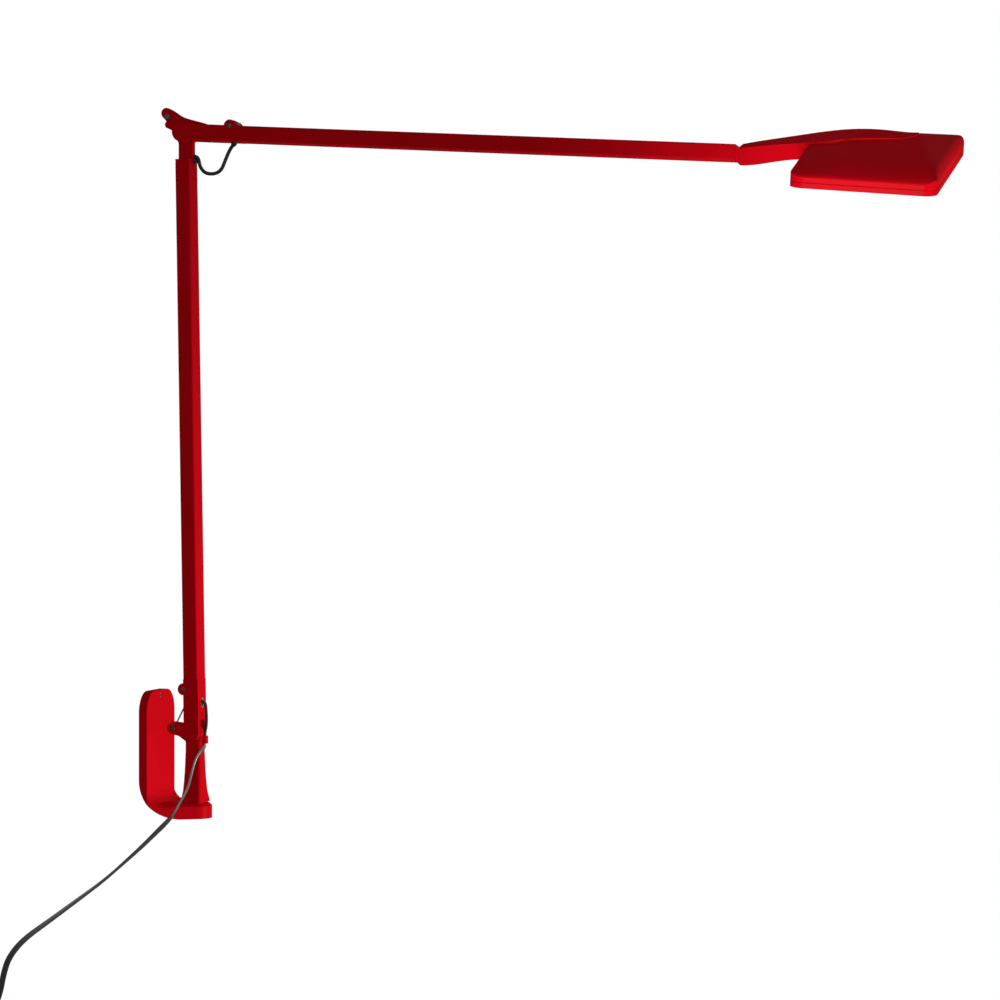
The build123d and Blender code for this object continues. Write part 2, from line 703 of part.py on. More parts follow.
# Spine: the neck, which spreads over the cover's ridge and draws in to a blunt tip
stations = [(neck_start + along, half, top, base) for along, half, top, base in neck_sections]
stations += [(shade_start + along, half, crown_height + proud, base)
             for along, half, proud, base in spine_sections]
neck_swing = neck_setback + seam - cheek_gap - 2 * running_gap
with BuildPart() as head_spine:
    for along, half, top, base in stations:
        with BuildSketch(head_end(along)):
            with BuildLine():
                Polyline((0, top), (-half, top - half * slope), (-half, base), (half, base),
                         (half, top - half * slope), close=True)
            make_face()
    loft()
    with BuildSketch(head_side):
        with BuildLine():
            Polyline((neck_start, neck_sections[0][3]), (shade_end, neck_sections[0][3]),
                     (shade_end, 2 * crown_height), (neck_start, 2 * crown_height), close=True)
        make_face()
    extrude(amount=shade_width, both=True, mode=Mode.INTERSECT)
    add(cover_outer, mode=Mode.SUBTRACT)
    # End rounded about the tilt axis, to clear the ferrule and spindle at any tilt
    with BuildSketch(head_side):
        with Locations((-seam - neck_swing, rim_drop)):
            Rectangle(2 * neck_swing, 4 * neck_swing)
        with Locations((0, rim_drop)):
            Circle(neck_swing, mode=Mode.SUBTRACT)
    extrude(amount=shade_width, both=True, mode=Mode.SUBTRACT)
    # Slot for the spindle's flat end, and the tilt pin's blind hole
    with BuildSketch(head_side):
        with Locations((0, rim_drop)):
            Rectangle(2 * (neck_setback + 0.5), 6 * rim_drop)
    extrude(amount=tilt_blade / 2 + cheek_gap, both=True, mode=Mode.SUBTRACT)
    with BuildSketch(head_tilt.offset(tilt_pin_reach + 0.1)):
        Circle(tilt_pin_radius + running_gap)
    extrude(amount=-4 * tilt_pin_reach, mode=Mode.SUBTRACT)
    # Pocket for the push button in the neck's underside
    with BuildSketch(head_plan(-2 * rim_drop)):
        with Locations((button_x, 0)):
            Circle(button_radius + 0.15)
    extrude(amount=2 * rim_drop + button_base + button_height + button_travel + 0.4,
            mode=Mode.SUBTRACT)
head_spine.part.label = "head_spine"
export_step(head_spine.part, "parts/head_spine.step")

with BuildPart() as push_button:
    with BuildSketch(head_plan(button_base)):
        with Locations((button_x, 0)):
            Circle(button_radius)
    extrude(amount=button_height)
    chamfer(push_button.edges().group_by(Axis.Z)[0], 0.3)
push_button.part.label = "push_button"
export_step(push_button.part, "parts/push_button.step")

# Rim below the cover, with the ledge that holds the diffuser
with BuildPart() as head_rim:
    with BuildSketch(head_plan(0)):
        with Locations((shade_middle, 0)):
            RectangleRounded(shade_length, shade_width, shade_corner)
            RectangleRounded(shade_length - 2 * rim_border, shade_width - 2 * rim_border,
                             shade_corner - rim_border, mode=Mode.SUBTRACT)
    extrude(amount=rim_height)
    with BuildSketch(head_plan(rim_height)):
        with Locations((shade_middle, 0)):
            RectangleRounded(shade_length - 2 * groove_inset, shade_width - 2 * groove_inset,
                             shade_corner - groove_inset)
            RectangleRounded(shade_length - 2 * rim_border, shade_width - 2 * rim_border,
                             shade_corner - rim_border, mode=Mode.SUBTRACT)
    extrude(amount=groove_height)
    with BuildSketch(head_plan(rim_height + groove_height - diffuser_thickness)):
        with Locations((shade_middle, 0)):
            RectangleRounded(shade_length - 2 * rim_border + 4, shade_width - 2 * rim_border + 4, 5)
    extrude(amount=diffuser_thickness, mode=Mode.SUBTRACT)
head_rim.part.label = "head_rim"
export_step(head_rim.part, "parts/head_rim.step")

with BuildPart() as diffuser:
    with BuildSketch(head_plan(rim_height + groove_height - diffuser_thickness)):
        with Locations((shade_middle, 0)):
            RectangleRounded(shade_length - 2 * rim_border + 3.6, shade_width - 2 * rim_border + 3.6,
                             4.8)
    extrude(amount=diffuser_thickness - 0.1)
diffuser.part.label = "diffuser"
export_step(diffuser.part, "parts/diffuser.step")

# Light board on a spreader that hangs from the cover's ridge
board_height = cover_base + 3
with BuildPart() as led_board:
    with BuildSketch(head_plan(board_height)):
        with Locations((shade_middle, 0)):
            RectangleRounded(*board_size, board_corner)
    extrude(amount=board_thickness)
led_board.part.label = "led_board"
export_step(led_board.part, "parts/led_board.step")

with BuildPart() as led_chips:
    with BuildSketch(head_plan(board_height)):
        with Locations((shade_middle, 0)):
            with GridLocations(*chip_pitch, 3, 6):
                Rectangle(chip_size, chip_size)
    extrude(amount=-0.8)
led_chips.part.label = "led_chips"
export_step(led_chips.part, "parts/led_chips.step")

with BuildPart() as heat_spreader:
    with BuildSketch(head_plan(board_height + board_thickness)):
        with Locations((shade_middle, 0)):
            RectangleRounded(*board_size, board_corner)
    extrude(amount=spreader_thickness)
    with BuildSketch(head_plan(board_height + board_thickness + spreader_thickness)):
        with Locations((shade_middle, 0)):
            with GridLocations(fin_pitch, 0, 4, 1):
                Rectangle(*fin_size)
    extrude(amount=crown_height)
    add(cover_inner, mode=Mode.INTERSECT)
heat_spreader.part.label = "heat_spreader"
export_step(heat_spreader.part, "parts/heat_spreader.step")

# Screws in the rim's underside
screw_x = shade_length / 2 - rim_border / 2
screw_y = shade_width / 2 - 14
for index, (x, y) in enumerate(((-1, -1), (1, -1), (1, 1), (-1, 1)), start=1):
    with BuildPart() as rim_screw:
        with BuildSketch(head_plan(-0.4)):
            with Locations((shade_middle + x * screw_x, y * screw_y)):
                Circle(1.6)
        extrude(amount=0.4)
        with BuildSketch(head_plan(-0.4)):
            with Locations((shade_middle + x * screw_x, y * screw_y)):
                RegularPolygon(0.7, 6)
        extrude(amount=0.3, mode=Mode.SUBTRACT)
    rim_screw.part.label = f"rim_screw_{index}"
    export_step(rim_screw.part, f"parts/rim_screw_{index}.step")


def tube_along(points, radius):
    """Round cord of straight runs joined by arcs as large as the runs allow."""
    points = [Vector(p) for p in points]
    runs = [b - a for a, b in zip(points, points[1:])]
    radii = []
    for before, after in zip(runs, runs[1:]):
        turn = radians(before.get_angle(after))
        radii.append(0.45 * min(before.length, after.length) / tan(turn / 2))
    print("arc radii:", [round(r, 1) for r in radii])
    with BuildPart() as cord:
        with BuildLine():
            path = FilletPolyline(*points, radius=radii)
        with BuildSketch(Plane(origin=points[0], z_dir=runs[0])):
            Circle(radius)
        sweep(path=path)
    print("volume ratio:", round(cord.part.volume / (path.length * 3.14159 * radius**2), 4))
    return cord.part


elbow_points = [
    (6.5, 0, -17),
    (9.6, 0, -18.2),
    (10.6, 0, -24.6),
    (14.6, 0, -29.4),
    (21.4, 0, -30.2),
    (26.9, 0, -27.6),
    (30, 0, -20),
    (33.2, 0, -13),
    (36.8, 0, -8.5),
]
lead_points = [
    (37.9, 0, 40.2),
    (39.9, 0, 38.4),
    (40.5, 0, 32),
    (40.5, 0, 24.5),
    (39.5, 0, 19.4),
    (39.5, 0, 15.8),
]
cord_points = [
    (39.5, -0.4, 9.2),
    (39.5, -2.2, 7.8),
    (38.9, -5.6, 5.6),
    (36.2, -9, 1.2),
    (34.5, -10.6, -4.8),
    (33.3, -12.2, -11.6),
    (32.4, -14.6, -18.8),
    (30.6, -19, -25.6),
    (28.8, -25, -31.2),
    (28.9, -32, -35.8),
    (28.3, -44, -40.6),
    (26, -60.5, -46.8),
    (23.6, -81, -54.2),
    (21, -104.5, -61.6),
    (18, -134, -70.4),
    (14.5, -171, -78.6),
    (11.5, -208.6, -86.6),
    (8.6, -242, -93.4),
    (7, -261, -102),
    (6.9, -268.5, -111.5),
    (6.9, -274, -123),
    (7.1, -276, -136),
]

elbow_loop = tube_along([elbow + Vector(*p) for p in elbow_points], elbow_cord_radius)
elbow_loop.label = "elbow_cable"
export_step(elbow_loop, "parts/elbow_cable.step")

lead = tube_along(lead_points, cord_radius)
lead.label = "cord_lead"
export_step(lead, "parts/cord_lead.step")

hanging = tube_along(cord_points, cord_radius)
hanging.label = "mains_cord"
export_step(hanging, "parts/mains_cord.step")

# Coil of the rest of the cord, hung flat beside the wall, with its tie
coil_depth, coil_band = coil_section
coil_outer = coil_radius + coil_band / 2
coil_centre = Vector(*cord_points[-1]) - Vector(0, 0, coil_outer + coil_gap)
with BuildPart() as cord_coil:
    with BuildSketch(Plane(origin=coil_centre, x_dir=(1, 0, 0), z_dir=(0, -1, 0))) as coil_profile:
        with Locations((0, coil_radius)):
            Rectangle(coil_depth, coil_band)
        chamfer(coil_profile.vertices(), coil_chamfer)
    revolve(axis=Axis(coil_centre, (1, 0, 0)))
cord_coil.part.label = "cord_coil"
export_step(cord_coil.part, "parts/cord_coil.step")

tie_inner = (coil_depth + 2 * tie_fit, coil_band + 2 * tie_fit)
with BuildPart() as coil_tie:
    with BuildSketch(Plane(origin=coil_centre - Vector(0, coil_radius, tie_width / 2))):
        Rectangle(tie_inner[0] + 2 * tie_wall, tie_inner[1] + 2 * tie_wall)
        Rectangle(*tie_inner, mode=Mode.SUBTRACT)
    extrude(amount=tie_width)
coil_tie.part.label = "coil_tie"
export_step(coil_tie.part, "parts/coil_tie.step")

# Short run of cord from the coil down to the power adapter
run_top = coil_centre.Z - coil_outer - coil_gap
relief_top = run_top - adapter_lead_length
with BuildPart() as adapter_lead:
    with BuildSketch(Plane(origin=(coil_centre.X, coil_centre.Y, run_top))):
        Circle(cord_radius)
    extrude(amount=-adapter_lead_length)
adapter_lead.part.label = "adapter_lead"
export_step(adapter_lead.part, "parts/adapter_lead.step")

# Plug-in power adapter with a tapered strain relief and two pins
relief_base = relief_top - relief_length
adapter_middle_x = adapter_size[0] / 2 + adapter_wall_gap
with BuildPart() as power_adapter:
    for height, size in zip((relief_top, relief_base), relief_radii):
        with BuildSketch(Plane(origin=(coil_centre.X, coil_centre.Y, height))):
            Circle(size)
    loft()
    with BuildSketch(Plane(origin=(adapter_middle_x, coil_centre.Y, relief_base))):
        RectangleRounded(adapter_size[0], adapter_size[1], 4)
    extrude(amount=-adapter_size[2])
    chamfer(power_adapter.edges().group_by(Axis.Z)[0], 1.2)
power_adapter.part.label = "power_adapter"
export_step(power_adapter.part, "parts/power_adapter.step")

adapter_base = relief_base - adapter_size[2]
for index, offset in enumerate((-pin_spacing / 2, pin_spacing / 2), start=1):
    with BuildPart() as adapter_pin:
        with BuildSketch(Plane(origin=(adapter_middle_x, coil_centre.Y + offset, adapter_base))):
            Circle(adapter_pin_radius)
        extrude(amount=-adapter_pin_length)
        chamfer(adapter_pin.edges().group_by(Axis.Z)[0], 0.8)
    adapter_pin.part.label = f"adapter_pin_{index}"
    export_step(adapter_pin.part, f"parts/adapter_pin_{index}.step")
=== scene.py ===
import json
import math

import bpy
import numpy as np
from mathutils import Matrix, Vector


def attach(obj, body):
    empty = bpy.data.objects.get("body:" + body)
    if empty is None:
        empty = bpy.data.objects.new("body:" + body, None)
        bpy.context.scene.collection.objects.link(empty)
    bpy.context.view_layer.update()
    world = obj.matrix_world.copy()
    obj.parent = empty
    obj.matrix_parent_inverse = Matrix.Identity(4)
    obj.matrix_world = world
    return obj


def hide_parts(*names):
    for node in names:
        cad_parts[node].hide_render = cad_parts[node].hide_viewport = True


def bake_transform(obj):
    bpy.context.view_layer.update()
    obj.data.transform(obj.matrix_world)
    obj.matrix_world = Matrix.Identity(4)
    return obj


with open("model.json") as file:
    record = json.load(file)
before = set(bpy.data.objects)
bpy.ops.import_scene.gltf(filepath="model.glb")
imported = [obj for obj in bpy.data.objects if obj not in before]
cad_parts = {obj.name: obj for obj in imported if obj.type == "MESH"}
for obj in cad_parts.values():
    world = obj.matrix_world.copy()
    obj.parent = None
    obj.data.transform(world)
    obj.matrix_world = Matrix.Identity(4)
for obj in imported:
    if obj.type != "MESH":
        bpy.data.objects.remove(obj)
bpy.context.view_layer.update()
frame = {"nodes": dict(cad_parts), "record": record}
mm = 0.001
cadNodes = frame["nodes"]
print("loaded", len(cadNodes), "nodes")


cameraSetup = {
    "place": (0.7425, -1.882, 0.183),  # level, a little right of the lamp's middle
    "turn": 14.5,  # degrees about the upright, towards the wall
    "lens": 101.3,
    "sensor": 36,
    "farthest": 50,  # metres
}


def makeCamera():
    data = bpy.data.cameras.new("camera")
    data.lens = cameraSetup["lens"]
    data.sensor_width = cameraSetup["sensor"]
    data.clip_end = cameraSetup["farthest"]
    camera = bpy.data.objects.new("camera", data)
    camera.location = cameraSetup["place"]
    camera.rotation_euler = (math.radians(90), 0, math.radians(cameraSetup["turn"]))
    bpy.context.collection.objects.link(camera)
    bpy.context.scene.camera = camera


makeCamera()
bpy.context.scene.view_settings.view_transform = "Standard"
print("camera set")


# An empty node tree with a Principled shader on its output.
def newMaterial(name):
    material = bpy.data.materials.new(name)
    material.use_nodes = True
    nodes = material.node_tree.nodes
    return material, nodes, material.node_tree.links, nodes["Principled BSDF"]


def addNode(nodes, kind, **values):
    node = nodes.new(kind)
    for key, value in values.items():
        if key in node.inputs:
            node.inputs[key].default_value = value
        else:
            setattr(node, key, value)
    return node


# Noise read on Object coordinates, stretched along chosen axes.
def noiseOn(nodes, links, scale, detail, stretch=(1, 1, 1)):
    place = nodes.new("ShaderNodeTexCoord")
    mapping = nodes.new("ShaderNodeMapping")
    mapping.inputs["Scale"].default_value = stretch
    noise = nodes.new("ShaderNodeTexNoise")
    noise.inputs["Scale"].default_value = scale
    noise.inputs["Detail"].default_value = detail
    links.new(place.outputs["Object"], mapping.inputs["Vector"])
    links.new(mapping.outputs["Vector"], noise.inputs["Vector"])
    return noise


# Two colours mixed by a noise between the low and high marks.
def blendColours(nodes, links, factor, first, second, low=0.35, high=0.65):
    ramp = nodes.new("ShaderNodeValToRGB")
    ramp.color_ramp.elements[0].position = low
    ramp.color_ramp.elements[1].position = high
    ramp.color_ramp.elements[0].color = (*first, 1)
    ramp.color_ramp.elements[1].color = (*second, 1)
    links.new(factor, ramp.inputs["Fac"])
    return ramp


def bumpFrom(nodes, links, shader, height, strength, distance):
    bump = nodes.new("ShaderNodeBump")
    bump.inputs["Strength"].default_value = strength
    bump.inputs["Distance"].default_value = distance
    links.new(height, bump.inputs["Height"])
    links.new(bump.outputs["Normal"], shader.inputs["Normal"])
    return bump


def roughnessFrom(nodes, links, shader, noise, low, high):
    spread = nodes.new("ShaderNodeMapRange")
    spread.inputs["To Min"].default_value = low
    spread.inputs["To Max"].default_value = high
    links.new(noise, spread.inputs["Value"])
    links.new(spread.outputs["Result"], shader.inputs["Roughness"])


# Deep satin red paint: a slow colour drift, fine orange peel and uneven sheen.
def redEnamel():
    settings = {"deep": (0.57, 0.0012, 0.006), "bright": (0.64, 0.002, 0.009), "peel": 900,
                "peelDepth": 0.00004, "gloss": (0.42, 0.55), "specular": 0.0, "coat": 0.02}
    material, nodes, links, shader = newMaterial("redEnamel")
    drift = noiseOn(nodes, links, 9, 3)
    colour = blendColours(nodes, links, drift.outputs["Fac"], settings["deep"], settings["bright"])
    links.new(colour.outputs["Color"], shader.inputs["Base Color"])
    peel = noiseOn(nodes, links, settings["peel"], 2)
    bumpFrom(nodes, links, shader, peel.outputs["Fac"], 0.12, settings["peelDepth"])
    smear = noiseOn(nodes, links, 60, 4)
    roughnessFrom(nodes, links, shader, smear.outputs["Fac"], *settings["gloss"])
    shader.inputs["Specular IOR Level"].default_value = settings["specular"]
    shader.inputs["Coat Weight"].default_value = settings["coat"]
    shader.inputs["Coat Roughness"].default_value = 0.3
    return material


# Moulded black plastic with a fine spark-eroded grain.
def blackPlastic():
    settings = {"dark": (0.006, 0.006, 0.007), "light": (0.016, 0.016, 0.017), "grain": 2600}
    material, nodes, links, shader = newMaterial("blackPlastic")
    grain = noiseOn(nodes, links, settings["grain"], 3)
    colour = blendColours(nodes, links, grain.outputs["Fac"], settings["dark"], settings["light"])
    links.new(colour.outputs["Color"], shader.inputs["Base Color"])
    bumpFrom(nodes, links, shader, grain.outputs["Fac"], 0.35, 0.00006)
    wear = noiseOn(nodes, links, 120, 3)
    roughnessFrom(nodes, links, shader, wear.outputs["Fac"], 0.34, 0.52)
    return material


# Plain steel with fine lathe lines and a few dull patches.
def turnedSteel():
    settings = {"dark": (0.16, 0.16, 0.165), "light": (0.26, 0.26, 0.265)}
    material, nodes, links, shader = newMaterial("turnedSteel")
    lines = noiseOn(nodes, links, 700, 2, stretch=(1, 6, 1))
    colour = blendColours(nodes, links, lines.outputs["Fac"], settings["dark"], settings["light"])
    links.new(colour.outputs["Color"], shader.inputs["Base Color"])
    bumpFrom(nodes, links, shader, lines.outputs["Fac"], 0.2, 0.00003)
    dull = noiseOn(nodes, links, 90, 4)
    roughnessFrom(nodes, links, shader, dull.outputs["Fac"], 0.22, 0.4)
    shader.inputs["Metallic"].default_value = 1
    return material


# Soft black sheath with a brown cast, faint moulding lines and handling marks, and a painted
# highlight along one stretch.
def cordSheath():
    settings = {"dark": (0.010, 0.008, 0.007), "light": (0.022, 0.016, 0.014),
                "highlighted": {"Specular IOR Level": (0.2, 1.0), "Coat Weight": (0, 1)}}
    material, nodes, links, shader = newMaterial("cordSheath")
    marks = noiseOn(nodes, links, 300, 4)
    colour = blendColours(nodes, links, marks.outputs["Fac"], settings["dark"], settings["light"])
    links.new(colour.outputs["Color"], shader.inputs["Base Color"])
    bumpFrom(nodes, links, shader, marks.outputs["Fac"], 0.15, 0.00005)
    roughnessFrom(nodes, links, shader, marks.outputs["Fac"], 0.26, 0.42)
    # Painted highlight: the sheath is made glossier where this attribute is 1, on a stretch near
    # the clip, standing in for a highlight and not for a real finish
    paintedHighlight = nodes.new("ShaderNodeAttribute")
    paintedHighlight.attribute_name = "paintedHighlight"
    for socket, (plain, highlighted) in settings["highlighted"].items():
        level = nodes.new("ShaderNodeMapRange")
        level.inputs["To Min"].default_value = plain
        level.inputs["To Max"].default_value = highlighted
        links.new(paintedHighlight.outputs["Fac"], level.inputs["Value"])
        links.new(level.outputs["Result"], shader.inputs[socket])
    return material


# Opal sheet with a fine prismatic dimple across it.
def opalDiffuser():
    material, nodes, links, shader = newMaterial("opalDiffuser")
    place = nodes.new("ShaderNodeTexCoord")
    cells = nodes.new("ShaderNodeTexVoronoi")
    cells.inputs["Scale"].default_value = 700
    links.new(place.outputs["Object"], cells.inputs["Vector"])
    colour = blendColours(nodes, links, cells.outputs["Distance"], (0.78, 0.78, 0.76),
                          (0.86, 0.86, 0.84), 0.2, 0.7)
    links.new(colour.outputs["Color"], shader.inputs["Base Color"])
    bumpFrom(nodes, links, shader, cells.outputs["Distance"], 0.25, 0.00008)
    haze = noiseOn(nodes, links, 40, 3)
    roughnessFrom(nodes, links, shader, haze.outputs["Fac"], 0.25, 0.36)
    shader.inputs["Subsurface Weight"].default_value = 0.15
    shader.inputs["Subsurface Radius"].default_value = (0.004, 0.004, 0.004)
    return material


# A quiet finish for inner pieces: two close colours and an uneven sheen.
def plainFinish(name, dark, light, roughness, metal=0.0):
    material, nodes, links, shader = newMaterial(name)
    cast = noiseOn(nodes, links, 220, 3)
    colour = blendColours(nodes, links, cast.outputs["Fac"], dark, light)
    links.new(colour.outputs["Color"], shader.inputs["Base Color"])
    bumpFrom(nodes, links, shader, cast.outputs["Fac"], 0.1, 0.00003)
    roughnessFrom(nodes, links, shader, cast.outputs["Fac"], *roughness)
    shader.inputs["Metallic"].default_value = metal
    return material


finishes = {
    "red_enamel": redEnamel(),
    "black_plastic": blackPlastic(),
    "steel": turnedSteel(),
    "cord_rubber": cordSheath(),
    "opal": opalDiffuser(),
    "nylon": plainFinish("blackNylon", (0.02, 0.02, 0.02), (0.035, 0.035, 0.035), (0.4, 0.5)),
    "board": plainFinish("whiteBoard", (0.7, 0.7, 0.68), (0.78, 0.78, 0.76), (0.3, 0.4)),
    "chips": plainFinish("phosphor", (0.8, 0.62, 0.18), (0.85, 0.7, 0.26), (0.3, 0.45)),
    "aluminium": plainFinish("milledAluminium", (0.6, 0.6, 0.61), (0.7, 0.7, 0.71),
                             (0.3, 0.42), 1.0),
}


# Each CAD node takes the finish of its own slot.
def paintNodes():
    slotOf = {entry["node"]: entry["material_slot"] for entry in frame["record"]["subparts"]}
    for name, entry in cadNodes.items():
        target = entry if hasattr(entry, "material_slots") else bpy.data.objects[name]
        for slot in target.material_slots:
            slot.link = "OBJECT"
            slot.material = finishes[slotOf[name]]


paintNodes()
print("finishes on")


# A mesh object from whole arrays, at the origin, with its finish. Its faces are turned
# outwards: the sum of each face's fan of corner triangles gives a volume above zero.
def meshFrom(name, vertices, faces, material, smooth=True):
    points = np.asarray(vertices, float)
    volume = 0.0
    for face in faces:
        corners = points[face]
        volume += np.einsum("ij,ij->", np.cross(corners[1:-1], corners[2:]),
                            np.broadcast_to(corners[0], corners[2:].shape))
    if volume < 0:
        faces = [face[::-1] for face in faces]
    mesh = bpy.data.meshes.new(name)
    mesh.from_pydata(points.tolist(), [], faces)
    mesh.validate()
    mesh.update()
    mesh.polygons.foreach_set("use_smooth", np.full(len(mesh.polygons), smooth))
    mesh.materials.append(material)
    piece = bpy.data.objects.new(name, mesh)
    bpy.context.collection.objects.link(piece)
    return piece


# Quads between each ring and the next, and one polygon on each end.
def gridFaces(rings, sides):
    ring, side = np.meshgrid(np.arange(rings - 1), np.arange(sides), indexing="ij")
    after = (side + 1) % sides
    quads = np.stack([ring * sides + side, ring * sides + after,
                      (ring + 1) * sides + after, (ring + 1) * sides + side], axis=-1)
    ends = [list(range(sides))[::-1], list(range((rings - 1) * sides, rings * sides))]
    return quads.reshape(-1, 4).tolist() + ends


def inMetres(points):
    return np.array(points, float) * mm


# The smooth line of a route: a NURBS spline of order 3 with the points as controls.
def readRoute(name, points, steps):
    curve = bpy.data.curves.new(name, "CURVE")
    curve.dimensions = "3D"
    curve.resolution_u = steps
    spline = curve.splines.new("NURBS")
    spline.points.add(len(points) - 1)
    spline.points.foreach_set("co", np.c_[points, np.ones(len(points))].ravel())
    spline.order_u = 3
    spline.use_endpoint_u = True
    holder = bpy.data.objects.new(name, curve)
    bpy.context.collection.objects.link(holder)
    mesh = bpy.data.meshes.new_from_object(holder)
    line = np.empty(len(mesh.vertices) * 3)
    mesh.vertices.foreach_get("co", line)
    bpy.data.objects.remove(holder)
    bpy.data.curves.remove(curve)
    bpy.data.meshes.remove(mesh)
    line = line.reshape(-1, 3)
    return line[np.append(True, np.linalg.norm(np.diff(line, axis=0), axis=1) > 1e-6)]


def lengthAlong(line):
    return np.append(0, np.cumsum(np.linalg.norm(np.diff(line, axis=0), axis=1)))


# Rings of a profile carried along a line. Each ring stands square to the line with its first
# axis nearest to the upright, then is turned and scaled by that ring's own amounts.
def carryProfile(line, profile, upright, turn=0.0, scale=1.0):
    along = np.gradient(line, axis=0)
    along /= np.linalg.norm(along, axis=1)[:, None]
    first = upright - along * (along @ upright)[:, None]
    first /= np.linalg.norm(first, axis=1)[:, None]
    second = np.cross(along, first)
    turn = np.broadcast_to(turn, len(line))[:, None]
    scale = np.broadcast_to(scale, len(line))[:, None]
    across = (profile[:, 0] * np.cos(turn) - profile[:, 1] * np.sin(turn)) * scale
    over = (profile[:, 0] * np.sin(turn) + profile[:, 1] * np.cos(turn)) * scale
    rings = line[:, None] + across[..., None] * first[:, None] + over[..., None] * second[:, None]
    return rings.reshape(-1, 3)


# A circle.
def roundProfile(radius, sides=16):
    angle = np.linspace(0, 2 * np.pi, sides, endpoint=False)
    return np.stack([radius * np.cos(angle), radius * np.sin(angle)], axis=1)


# A circle whose radius rises and falls once for each strand.
def lobedProfile(radius, lobes, depth, sides):
    angle = np.linspace(0, 2 * np.pi, sides, endpoint=False)
    reach = radius * (1 - depth * (0.5 - 0.5 * np.cos(lobes * angle)))
    return np.stack([reach * np.cos(angle), reach * np.sin(angle)], axis=1)


# Two round cores side by side: the height over the middle line is the taller of the nearer
# core's circle and the web between them.
def twinProfile(width, thick, web=0.72, sides=24):
    angle = np.linspace(0, 2 * np.pi, sides, endpoint=False)
    across = 0.5 * width * np.cos(angle)
    core = 0.5 * thick
    beside = (np.abs(across) - (0.5 * width - core)) / core
    height = core * np.maximum(np.sqrt(np.clip(1 - beside ** 2, 0, 1)), web * (np.abs(beside) < 1) *
                               (np.abs(across) < 0.5 * width - core))
    return np.stack([across, height * np.sign(np.sin(angle))], axis=1)


# A surface of revolution: each (distance, radius) of the profile becomes a ring round the
# heading at that distance from the start.
def turnedShape(name, profile, start, heading, material, sides=28):
    heading = np.array(heading, float) / np.linalg.norm(heading)
    upright = np.array((0, 1, 0)) if abs(heading[1]) < 0.9 else np.array((1, 0, 0))
    first = np.cross(heading, upright)
    first /= np.linalg.norm(first)
    second = np.cross(heading, first)
    profile = inMetres(profile)
    angle = np.linspace(0, 2 * np.pi, sides, endpoint=False)
    circle = np.cos(angle)[:, None] * first + np.sin(angle)[:, None] * second
    rings = inMetres(start) + profile[:, :1, None] * heading + profile[:, 1:, None] * circle
    return meshFrom(name, rings.reshape(-1, 3), gridFaces(len(profile), sides), material)


mainsCord = {
    "width": 3.8 * mm,
    "thick": 2.0 * mm,
    "length": 1.8,
    "paintedHighlight": [(0, 1), (0.056, 1), (0.068, 0)],  # painted highlight: distance along the cord and how strong it is there
    "points": [(39.5, -0.4, 9.2), (39.5, -2.2, 7.8), (38.9, -5.6, 5.6), (36.2, -9, 1.2),
               (34.5, -10.6, -4.8), (33.3, -12.2, -11.6), (32.4, -14.6, -18.8),
               (30.6, -19, -25.6), (28.8, -25, -31.2), (28.9, -32, -35.8), (28.3, -44, -40.6),
               (26, -60.5, -46.8), (23.6, -81, -54.2), (21, -104.5, -61.6),
               (18, -134, -70.4), (14.5, -171, -78.6), (11.5, -208.6, -86.6),
               (8.6, -242, -93.4), (7, -261, -102), (6.9, -268.5, -111.5),
               (6.9, -274, -123), (6.2, -283.5, -133)],
    "coilCentre": (7.1, -276, -165.2),
    "coilTurns": [0, 5, 5.5, 6, 10, 10.3],
    "coilRadii": [27.6, 17.1, 16.2, 17.1, 25.5, 26.8],
    "coilSides": [-2.2, -2.2, 0, 2.2, 2.2, 2.0],
    "coilStart": 47,  # degrees from the top, towards -Y
    "pointsInTurn": 12,
    "controlReach": 0.975,  # a spline's radius as a share of its control points' radius
    "waver": (0.2, 9.1),  # how far the turns stray sideways, and how fast
    "tail": [(8.4, -281.2, -193.6), (7.4, -277, -196.6), (7.1, -276, -200.5),
             (7.1, -276, -206), (7.1, -276, -212)],
    # share of the hanging run, and how far the flat cord has turned there, in degrees
    "turnAt": [0, 0.04, 0.12, 0.22, 0.36, 0.46, 0.56, 0.66, 0.76, 0.86, 0.93, 1.0],
    "turnBy": [90, 80, 60, 55, 60, 92, 55, 15, -22, -38, -5, 0],
}


# Control points of the wound part: a spiral whose radius and side run evenly from each turn's
# own values to the next turn's.
def coilPoints():
    turns = mainsCord["coilTurns"]
    count = int(turns[-1] * mainsCord["pointsInTurn"]) + 1
    done = np.arange(count) / mainsCord["pointsInTurn"]
    radius = np.interp(done, turns, mainsCord["coilRadii"]) / mainsCord["controlReach"]
    stray, pace = mainsCord["waver"]
    side = np.interp(done, turns, mainsCord["coilSides"]) + stray * np.sin(done * pace)
    angle = np.radians(mainsCord["coilStart"]) + 2 * np.pi * done
    ring = np.stack([side, -radius * np.sin(angle), radius * np.cos(angle)], axis=1)
    return ring + np.array(mainsCord["coilCentre"])


